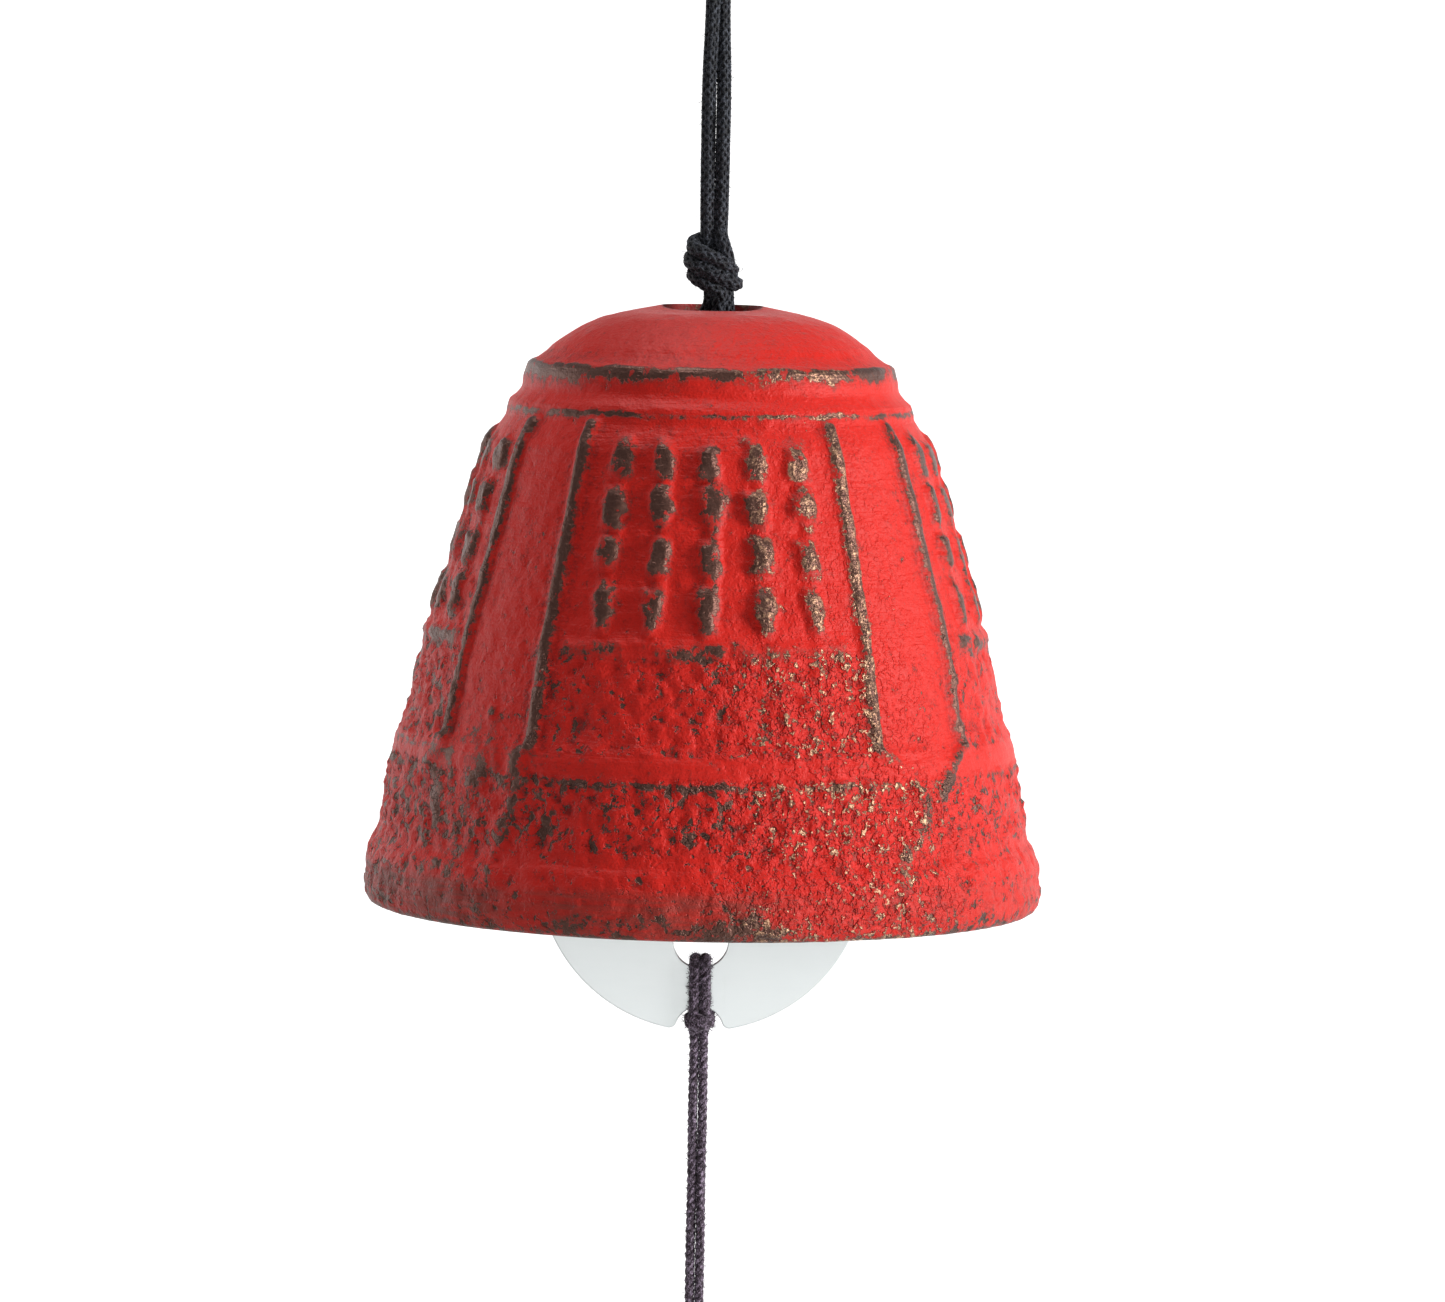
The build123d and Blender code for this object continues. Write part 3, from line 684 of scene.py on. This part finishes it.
    # Sill under the bosses, its spots worn
    sill = fall(0.35, 1.05, np.abs(span - at.foot + 0.15 * slow)) * inside_panel
    relief += 0.36 * sill * (0.8 + 0.4 * middle)
    spots = 0.5 + 0.3 * middle + 0.28 * small + 0.2 * slow - 0.12 * step(5, 25, turn)
    wear = np.maximum(wear, fall(0.2, 1.7, np.abs(span - at.foot - 0.3 + 0.7 * coarse + 0.3 * slow)) * inside_panel
        * spots)

    # Ridges below the dome, crisp over a shallow valley that is painted in shade, and rubbed along their upper edges
    leftward = step(18, 50, -azimuth) * step(-140, -95, azimuth)
    relief += 0.25 * step(at.ridge - 0.2, at.ridge + 0.4, span) * fall(at.ridge_foot - 1.0, at.ridge_foot + 0.4, span)
    relief += 0.16 * step(at.collar - 0.5, at.collar, span) * fall(at.collar_foot, at.collar_foot + 0.5, span)
    valley = fall(0.2, 1.0, np.abs(span - at.ridge + 0.8))
    relief -= 0.22 * valley
    painted_shade += 0.3 * valley
    low_rub = 0.3 + 0.38 * step(-33, -23, azimuth) * step(-20, -8, -azimuth) + 0.2 * step(60, 74, np.abs(azimuth))
    rubs = (
        (at.ridge + 0.05, 2.5 + 0.5 * leftward, 0.86 + leftward * 0.12),
        (at.collar_foot - 0.35, 0.8 + 0.4 * leftward, 0.7),
        (at.band - 0.3, 0.7, 0.54 * leftward),
        (at.band_foot - 0.1, 1.3, low_rub))
    for edge, reach, amount in rubs:
        under = span - edge + 0.25 * coarse + 0.15 * slow
        rub_line = step(-0.35, 0.1, under) * fall(0.15, 1.0, under / reach)
        wear = np.maximum(wear, rub_line * (amount + 0.22 * slow + 0.28 * middle + 0.26 * small))
    relief += 0.3 * step(at.skirt + 0.7, at.skirt + 1.7, span) * fall(at.lip + 0.2, at.lip + 2.2, span)
    brim = fall(0.2, 0.9, np.abs(span - height + 0.3))
    wear = np.maximum(wear, brim * (0.55 + 0.2 * middle))

    # Paint brushed thin along the lip, worn through in front and mottled low on the left band
    lip_zone = step(at.lip - 0.6, at.lip + 1.0, span)
    front = step(-34, -22, azimuth) * step(-22, -6, -azimuth)
    thin = lip_zone * (0.15 + 0.7 * leftward + 0.35 * step(-0.2, 0.6, slow) + 0.35 * front)
    mottle = 0.22 + 0.26 * front - 0.26 * leftward + 0.2 * coarse + 0.34 * middle + 0.26 * small + 0.16 * slow
    wear = np.maximum(wear, step(at.bulge - 1.8, at.bulge + 0.5, span) * mottle)
    mottle_zone = (step(at.panel - 4.0, at.panel, span) * leftward * step(PANEL_HALF - 5, PANEL_HALF - 1, np.abs(turn))
        * (1 - 0.6 * lip_zone))
    wear = np.maximum(wear, mottle_zone * (0.22 + 0.36 * middle + 0.34 * small + 0.16 * slow))

    # Striking seats on two of the bands, and a small lug above each
    for angle in SEAT_ANGLES:
        around = (bearing - angle + 180) % 360 - 180
        far = np.hypot(np.radians(around) * r, span - neck)
        relief += SEAT_RELIEF * fall(2.5, 3.3, far) - 0.12 * fall(0.2, 0.5, np.abs(far - 2.1))
        wear = np.maximum(wear, fall(2.2, 3.4, far) * (0.42 + 0.35 * middle + 0.2 * slow))
        lug = np.hypot(np.radians(around) * r * 1.5 - 0.6, span - neck + 5.2)
        relief += 0.4 * fall(0.5, 1.2, lug)
        wear = np.maximum(wear, fall(0.4, 1.1, lug) * 0.6)

    # Sandy skin, coarse low down and nearly smooth on the dome and ledges
    front_right = step(-12, 28, azimuth) * step(-64, -30, -azimuth)
    on_band = np.abs(turn) > PANEL_HALF
    sand = 0.16 + 0.1 * step(at.shoulder, at.foot, span)
    for here, amount in (
            (span > at.foot + 0.8, 0.6 - 0.3 * on_band),
            ((span > at.panel + 1.5) & (span < at.band_foot - 0.4), 0.1),
            ((span > at.band_foot) & (span < at.skirt - 0.6), 0.8 - 0.15 * on_band),
            ((span >= at.skirt - 0.6) & (span < at.lip - 0.8), 0.42),
            (span >= at.lip - 0.8, 0.52),
            (span < at.collar, 0.1)):
        sand = np.where(here, amount, sand)
    sand = (sand + 0.35 * front_right * (span > at.foot) * (1 - 0.8 * on_band * (span < at.band))
        + 0.3 * step(50, 68, -azimuth) * (span > at.shoulder))
    grains = 0.55 * middle + 0.45 * small
    lumpy = np.maximum(grains, 0) * (1.5 + 1.3 * front_right) - np.maximum(-grains, 0) * (1.9 - 0.8 * front_right)
    relief += sand * sizes.sand_relief / MM * (1.25 * lumpy + 0.3 * coarse)
    relief += 0.05 * coarse + 0.1 * broad
    proud = step(0.25, 0.65, grains * (0.35 + 0.9 * front_right)) * step(0.2, 0.9, sand)
    sunk = step(0.25, 0.6, -grains) * step(0.15, 0.8, sand) * (1 - 0.5 * front_right)
    wear = np.maximum(wear, 0.3 * proud + 0.36 * sunk)
    wear += 0.14 * sand * slow
    # Painted key light: the right front, where the key lamp falls, and a patch behind; the finish paints glints there,
    # and lighter, less shaded paint
    painted_key_light = step(-4, 16, azimuth) * step(-60, -36, -azimuth) + 0.6 * step(120, 140, np.abs(azimuth))
    # Painted shade in the sunk grains, and less painted shade where the key lamp falls
    painted_shade += 0.8 * sunk + 0.35 * step(0.0, 0.5, -grains) * sand
    painted_shade *= 1 - 0.5 * painted_key_light

    # The inside and the rim's foot are left as cast, and the inside is painted in shade
    wear = np.where(outside, wear, 0.62 + 0.1 * slow)
    sand = np.where(outside, sand, 0.5)
    relief = np.where(outside, relief, 0.1 * coarse)
    fade = step(-0.2, 1.4, height - span) * step(0.0, 1.2, span)
    relief = np.where(outside, relief * fade, relief * 0.5)
    painted_shade = np.where(outside, painted_shade, 0.8)
    # The crown's hole is partly bared to iron and painted in full shade
    hole = r < HOLE_RADIUS
    wear, painted_shade = np.where(hole, 0.44 + 0.2 * slow, wear), np.where(hole, 1.0, painted_shade)
    marks = {"wear": wear, "sand": sand, "painted_shade": painted_shade, "painted_key_light": painted_key_light * outside, "thin": thin * outside}
    return relief, {name: np.clip(values, 0, 1.2) for name, values in marks.items()}


def crown_dip(points):
    """How far the crown's face falls away in front of its hole, in millimetres."""
    x, y, z = points.T
    r = np.hypot(x, y)
    return DIP * fall(5.2, 10.5, r) * step(-0.2, 0.9, -y / np.maximum(r, 1.0)) * step(CROWN - 3.0, CROWN - 0.5, z)


def casting_profile(sizes):
    """The casting's section as a closed wire in the plane of X and Z, with small rows and soft corners."""
    outline = [(a * sizes.lip_radius, CROWN * MM - b * sizes.bell_height) for a, b in OUTLINE]
    section = outline + [(r * MM, z * MM) for r, z in INSIDE]
    shape = bmesh.new()
    corners = [shape.verts.new((r, 0, z)) for r, z in section]
    edges = [shape.edges.new((a, b)) for a, b in zip(corners, corners[1:] + corners[:1])]
    outer = len(outline) - 1
    for i, edge in enumerate(edges):
        cuts = int(edge.calc_length() / (sizes.row_pitch if i < outer else 4 * sizes.row_pitch))
        if cuts:
            bmesh.ops.subdivide_edges(shape, edges=[edge], cuts=cuts)
    # All of the section but the hole's wall, and of that the dome's outside down to where the ridge begins
    walls = [v for v in shape.verts if v.co.x > 0.0056]
    dome = [v for v in walls if v.co.x < 0.0172 and v.co.z > -0.0521
        and v.co.z > -0.0468 - 0.16 * (v.co.x - 0.0053) - 0.0026]
    for soft, times in ((dome, 30), (walls, 2)):
        for _ in range(times):
            bmesh.ops.smooth_vert(shape, verts=soft, factor=0.5, use_axis_x=True, use_axis_z=True)
    return shape


def spun(shape, steps):
    """An open section, turned once round the axis in so many steps."""
    bmesh.ops.spin(shape, geom=shape.verts[:] + shape.edges[:], cent=(0, 0, 0), axis=(0, 0, 1), angle=2 * math.pi,
        steps=steps, use_merge=True)


# The stage, in metres: the backdrop's section as radius and height, and the lamps' place, diameter and watts
SWEEP = (0.0, -0.305), (1.3, -0.305), (2.0, -0.25), (2.35, 0.1), (2.45, 0.7)
LAMPS = {
    "key": ((0.87, -0.33, 0.08), 0.4, 11.3),
    "fill": ((-0.8, 0.25, 0.0), 0.6, 1.5),
    "head": ((-0.12, 0.06, 0.75), 0.45, 3.5),
    "card": ((0.0, -0.42, -0.19), 0.32, 0.25),
}
LIT_POINT = (0, 0, -0.08)
# Light of the world, the backdrop's grey, and the glow of its floor, unseen and seen, and of its wall
WORLD_LIGHT, GREY, FLOOR_GLOW, FLOOR_SEEN, WALL_GLOW = 0.1, 0.6, 0.03, 0.42, 0.98
# The photograph's camera: its place, its angles down, aside and rolled in degrees, and its focal length
# and picture's width in pixels
CAMERA_PLACE = (0.0, -0.7, -0.02933)
CAMERA_ANGLES = (4.433, 0.142, 1.0885)
FOCAL_PIXELS, PHOTO_WIDTH, SENSOR = 6620.2, 1445, 36.0


class WINDBELL_OT_stage(bpy.types.Operator):
    """Set the pale floor and backdrop, the soft lights and the camera"""

    bl_idname = "wind_bell.stage"
    bl_label = "Stage"

    def execute(self, context):
        scene = context.scene
        tent = bmesh.new()
        wire = [tent.verts.new((r, 0, z)) for r, z in SWEEP]
        for pair in zip(wire, wire[1:]):
            tent.edges.new(pair)
        bmesh.ops.bevel(tent, geom=wire[1:-1], offset=0.25, segments=6, profile=0.5, affect="VERTICES", material=-1)
        spun(tent, 96)
        bmesh.ops.remove_doubles(tent, verts=tent.verts[:], dist=1e-5)
        bmesh.ops.recalc_face_normals(tent, faces=tent.faces[:])
        backdrop = piece_of(tent, "pale_backdrop", 60)
        pale = Finish("pale paper sweep", Base_Color=(GREY, GREY, GREY, 1), Roughness=0.9, Emission_Strength=1.0)
        apart = pale.node("ShaderNodeSeparateXYZ", None, {0: pale.place()}, 1)
        seen = pale.node("ShaderNodeLightPath")
        # The floor glows only for the camera, and what lies further out glows for everything
        floor = pale.mix(seen, (FLOOR_GLOW,) * 3, (FLOOR_SEEN,) * 3)
        pale.drive("Emission Color", pale.mix(pale.ramp(apart, 0.1, 1.0), floor, (WALL_GLOW,) * 3))
        backdrop.data.materials.append(pale.material)

        world = bpy.data.worlds.new("studio")
        scene.world = world
        world.use_nodes = True
        sky = world.node_tree.nodes["Background"].inputs
        sky["Color"].default_value, sky["Strength"].default_value = (1, 1, 1, 1), WORLD_LIGHT

        for name, (place, size, power) in LAMPS.items():
            lamp = bpy.data.lights.new(name, "AREA")
            lamp.shape, lamp.size, lamp.energy = "DISK", size, power
            holder = placed(name, lamp)
            holder.location = place
            holder.rotation_euler = (Vector(LIT_POINT) - Vector(place)).to_track_quat("-Z", "Y").to_euler()

        down, left, roll = (math.radians(angle) for angle in CAMERA_ANGLES)
        forward = Vector((math.sin(left) * math.cos(down), math.cos(left) * math.cos(down), -math.sin(down)))
        right = Vector((math.cos(left), -math.sin(left), 0))
        up = right.cross(forward)
        right, up = right * math.cos(roll) + up * math.sin(roll), up * math.cos(roll) - right * math.sin(roll)
        lens = bpy.data.cameras.new("photo_camera")
        lens.sensor_width = SENSOR
        lens.lens = SENSOR * FOCAL_PIXELS / PHOTO_WIDTH
        lens.clip_start, lens.clip_end = 0.01, 20
        camera = placed("photo_camera", lens)
        rows = [row + (place,) for row, place in zip(zip(right, up, -forward), CAMERA_PLACE)]
        camera.matrix_world = Matrix((*rows, (0, 0, 0, 1)))
        scene.camera = camera
        scene.view_settings.view_transform = "Standard"
        return {"FINISHED"}


class WINDBELL_OT_hanging_cord(bpy.types.Operator):
    """Lay the doubled black braid: the eye, its knot, the two strands, the crown knot and the bight round the pin"""

    bl_idname = "wind_bell.hanging_cord"
    bl_label = "Hanging cord"

    def execute(self, context):
        radius = context.scene.wind_bell_sizes.braid_radius
        eye, (line,) = braided_piece("eye_cord", "eye", ["hanging_eye"], [both_ends(EYE_HALF)], radius)
        knot, _ = braided_piece("top_knot_turns", "top_knot", ["top_knot"], knot_routes(*TOP_KNOT), radius * IN_KNOT)
        turns = [BIGHT, shifted(WRAP, mirror=(CROWN_TIGHT, CROWN_TIGHT, 1)), SHOULDER]
        crown, _ = braided_piece("crown_knot_turns", "crown_knot", ["crown_knot", "crown_bight"], turns, radius)
        for side, way in SIDES:
            route = shifted(HANGING_RIGHT, mirror=(way, way, 1))
            nodes = ["hanging_cord_" + side]
            strand, (line,) = braided_piece("hanging_strand_" + side, "hanging_cord", nodes, [route], radius)
        return {"FINISHED"}


class WINDBELL_OT_thin_cords(bpy.types.Operator):
    """Lay the dark thread: loops over the pin, the clapper cord, both hitches, the wind cord and the paper's loop"""

    bl_idname = "wind_bell.thin_cords"
    bl_label = "Thin cords"

    def execute(self, context):
        radius = context.scene.wind_bell_sizes.thread_radius
        front = both_ends(LOOP_HALF)
        back = [(x, -y, z) for x, y, z in reversed(front[:-1])]
        turns = [front + back]
        loops, (line,) = threaded_piece("clapper_loop_cord", "bell", ["clapper_loops"], turns, radius, hairs=4)
        turns = knot_routes(*CLAPPER_KNOT)
        knot, _ = threaded_piece("clapper_knot_turns", "clapper_knot", ["clapper_knot"], turns, radius * IN_KNOT)
        low_turns = [LEG, shifted(LEG, mirror=(-1, 1, 1)), shifted(CROSS, mirror=(CROSS_TIGHT, 1, 1))]
        high_turns = [shifted(route, z=2 * PLATE_Z, mirror=(1, 1, -1)) for route in low_turns]
        low_hitch, high_hitch = (
            threaded_piece(name + "_turns", "clapper", [name], routes, radius * IN_HITCH, hairs=26)[0]
            for name, routes in (("lower_hitch", low_turns), ("upper_hitch", high_turns)))
        turns = knot_routes(*PAPER_KNOT)
        tie, _ = threaded_piece("paper_knot_turns", "paper_knot", ["paper_knot"], turns, radius * IN_PAPER_KNOT)
        turns = [both_ends(PAPER_HALF, (1, -1, 1))]
        loop, _ = threaded_piece("paper_loop_cord", "paper", ["paper_loop"], turns, radius)
        for side, way in SIDES:
            for cord, route, held in (
                    ("clapper", CLAPPER_RIGHT, [knot, high_hitch]), ("wind", WIND_RIGHT, [low_hitch, tie, loop])):
                route = shifted(route, mirror=(way, way, 1))
                nodes = [cord + "_cord_" + side]
                strand, (line,) = threaded_piece(cord + "_strand_" + side, cord + "_cord", nodes, [route], radius)
        return {"FINISHED"}


class WINDBELL_OT_casting(bpy.types.Operator):
    """Spin the iron bell and raise its bosses, beads, ridges and sandy skin"""

    bl_idname = "wind_bell.casting"
    bl_label = "Casting"

    def execute(self, context):
        sizes = context.scene.wind_bell_sizes
        shape = casting_profile(sizes)
        spun(shape, sizes.columns)
        bmesh.ops.recalc_face_normals(shape, faces=shape.faces[:])
        bell = piece_of(shape, "bell_shell", SPUN_SMOOTH)
        mesh = bell.data
        count = len(mesh.vertices)
        places, normals = np.empty(3 * count), np.empty(3 * count)
        mesh.vertices.foreach_get("co", places)
        mesh.vertex_normals.foreach_get("vector", normals)
        places, normals = places.reshape(-1, 3), normals.reshape(-1, 3)
        relief, marks = casting_relief(places / MM, sizes)
        places += normals * (relief * MM)[:, None]
        places[:, 2] -= crown_dip(places / MM) * MM
        mesh.vertices.foreach_set("co", places.ravel())
        for name, values in marks.items():
            mesh.attributes.new(name, "FLOAT", "POINT").data.foreach_set("value", values.astype(np.float32))
        mesh.update()
        settle(bell, painted_iron, "bell", "red_bell", "bell_casting")
        return {"FINISHED"}


class WINDBELL_OT_pin(bpy.types.Operator):
    """Cut the steel pin that lies across the inside of the crown"""

    bl_idname = "wind_bell.pin"
    bl_label = "Crown pin"

    def execute(self, context):
        low, high = (Vector(c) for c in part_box("crown_pin"))
        radius, middle = (high.x - low.x) / 2, (low + high) / 2
        shape = bmesh.new()
        bmesh.ops.create_cone(shape, cap_ends=True, segments=48, radius1=radius, radius2=radius, depth=high.y - low.y)
        rims = [e for e in shape.edges if abs(e.verts[0].co.z - e.verts[1].co.z) < 1e-7]
        bmesh.ops.bevel(shape, geom=rims, offset=PIN_EDGE, segments=3, profile=0.5, affect="EDGES", material=-1)
        bmesh.ops.rotate(shape, verts=shape.verts[:], cent=(0, 0, 0), matrix=Matrix.Rotation(math.radians(90), 3, "X"))
        bmesh.ops.translate(shape, verts=shape.verts[:], vec=middle)
        bmesh.ops.recalc_face_normals(shape, faces=shape.faces[:])
        settle(piece_of(shape, "crown_pin_bar"), drawn_steel, "bell", "pin_steel", "crown_pin")
        return {"FINISHED"}


def edged_copy(node, width):
    """A merged copy of a CAD node's mesh with its sharp edges rounded over."""
    shape = bmesh.new()
    shape.from_mesh(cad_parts[node].data)
    bmesh.ops.remove_doubles(shape, verts=shape.verts[:], dist=2e-6)
    bmesh.ops.dissolve_limit(shape, angle_limit=math.radians(1.0), verts=shape.verts[:], edges=shape.edges[:])
    sharp = [e for e in shape.edges if len(e.link_faces) == 2 and e.calc_face_angle(0) > math.radians(50)]
    bmesh.ops.bevel(shape, geom=sharp, offset=width, segments=2, profile=0.5, affect="EDGES", material=-1,
        clamp_overlap=True)
    return shape


class WINDBELL_OT_plate(bpy.types.Operator):
    """Cut the clapper plate and round its edges"""

    bl_idname = "wind_bell.plate"
    bl_label = "Clapper plate"

    def execute(self, context):
        shape = edged_copy("clapper_plate", context.scene.wind_bell_sizes.plate_edge)
        settle(piece_of(shape, "plate_sheet", FLAT_SMOOTH), sheet_metal, "clapper", "plate_metal", "clapper_plate")
        return {"FINISHED"}


class WINDBELL_OT_paper(bpy.types.Operator):
    """Cut the paper strip and give it a slight curl"""

    bl_idname = "wind_bell.paper"
    bl_label = "Paper strip"

    def execute(self, context):
        low, high = (Vector(c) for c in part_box("paper_strip"))
        shape = edged_copy("paper_strip", PAPER_EDGE)
        for z in np.linspace(low.z, high.z, 60)[1:-1]:
            whole = shape.verts[:] + shape.edges[:] + shape.faces[:]
            bmesh.ops.bisect_plane(shape, geom=whole, plane_co=(0, 0, z), plane_no=(0, 0, 1))
        for vert in shape.verts:
            share = (high.z - vert.co.z) / (high.z - low.z)
            vert.co.y += PAPER_BOW * share * math.sin(2.6 * share) * (1 - 0.6 * share)
        settle(piece_of(shape, "paper_leaf", FLAT_SMOOTH), strip_paper, "paper", "strip_paper", "paper_strip")
        return {"FINISHED"}


class WINDBELL_PT_panel(bpy.types.Panel):
    """The wind bell's sizes, colours and pieces"""

    bl_idname = "WINDBELL_PT_panel"
    bl_label = "Wind Bell"
    bl_space_type = "VIEW_3D"
    bl_region_type = "UI"
    bl_category = "Wind Bell"

    def draw(self, context):
        for group in (context.scene.wind_bell_sizes, context.scene.wind_bell_colours):
            box = self.layout.box()
            for name in group.bl_rna.properties.keys():
                if name not in ("rna_type", "name"):
                    box.prop(group, name)
        for operator in OPERATORS:
            self.layout.operator(operator.bl_idname)


OPERATORS = (
    WINDBELL_OT_stage, WINDBELL_OT_hanging_cord, WINDBELL_OT_thin_cords, WINDBELL_OT_casting,
    WINDBELL_OT_pin, WINDBELL_OT_plate, WINDBELL_OT_paper)
CLASSES = (WindBellSizes, WindBellColours, *OPERATORS, WINDBELL_PT_panel)


def register():
    for item in CLASSES:
        bpy.utils.register_class(item)
    bpy.types.Scene.wind_bell_sizes = PointerProperty(type=WindBellSizes)
    bpy.types.Scene.wind_bell_colours = PointerProperty(type=WindBellColours)


def unregister():
    del bpy.types.Scene.wind_bell_colours
    del bpy.types.Scene.wind_bell_sizes
    for item in reversed(CLASSES):
        bpy.utils.unregister_class(item)


def main():
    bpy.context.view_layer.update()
    register()
    bpy.ops.wind_bell.stage()
    bpy.ops.wind_bell.hanging_cord()
    bpy.ops.wind_bell.thin_cords()
    bpy.ops.wind_bell.casting()
    bpy.ops.wind_bell.pin()
    bpy.ops.wind_bell.plate()
    bpy.ops.wind_bell.paper()


if __name__ == "__main__":
    main()
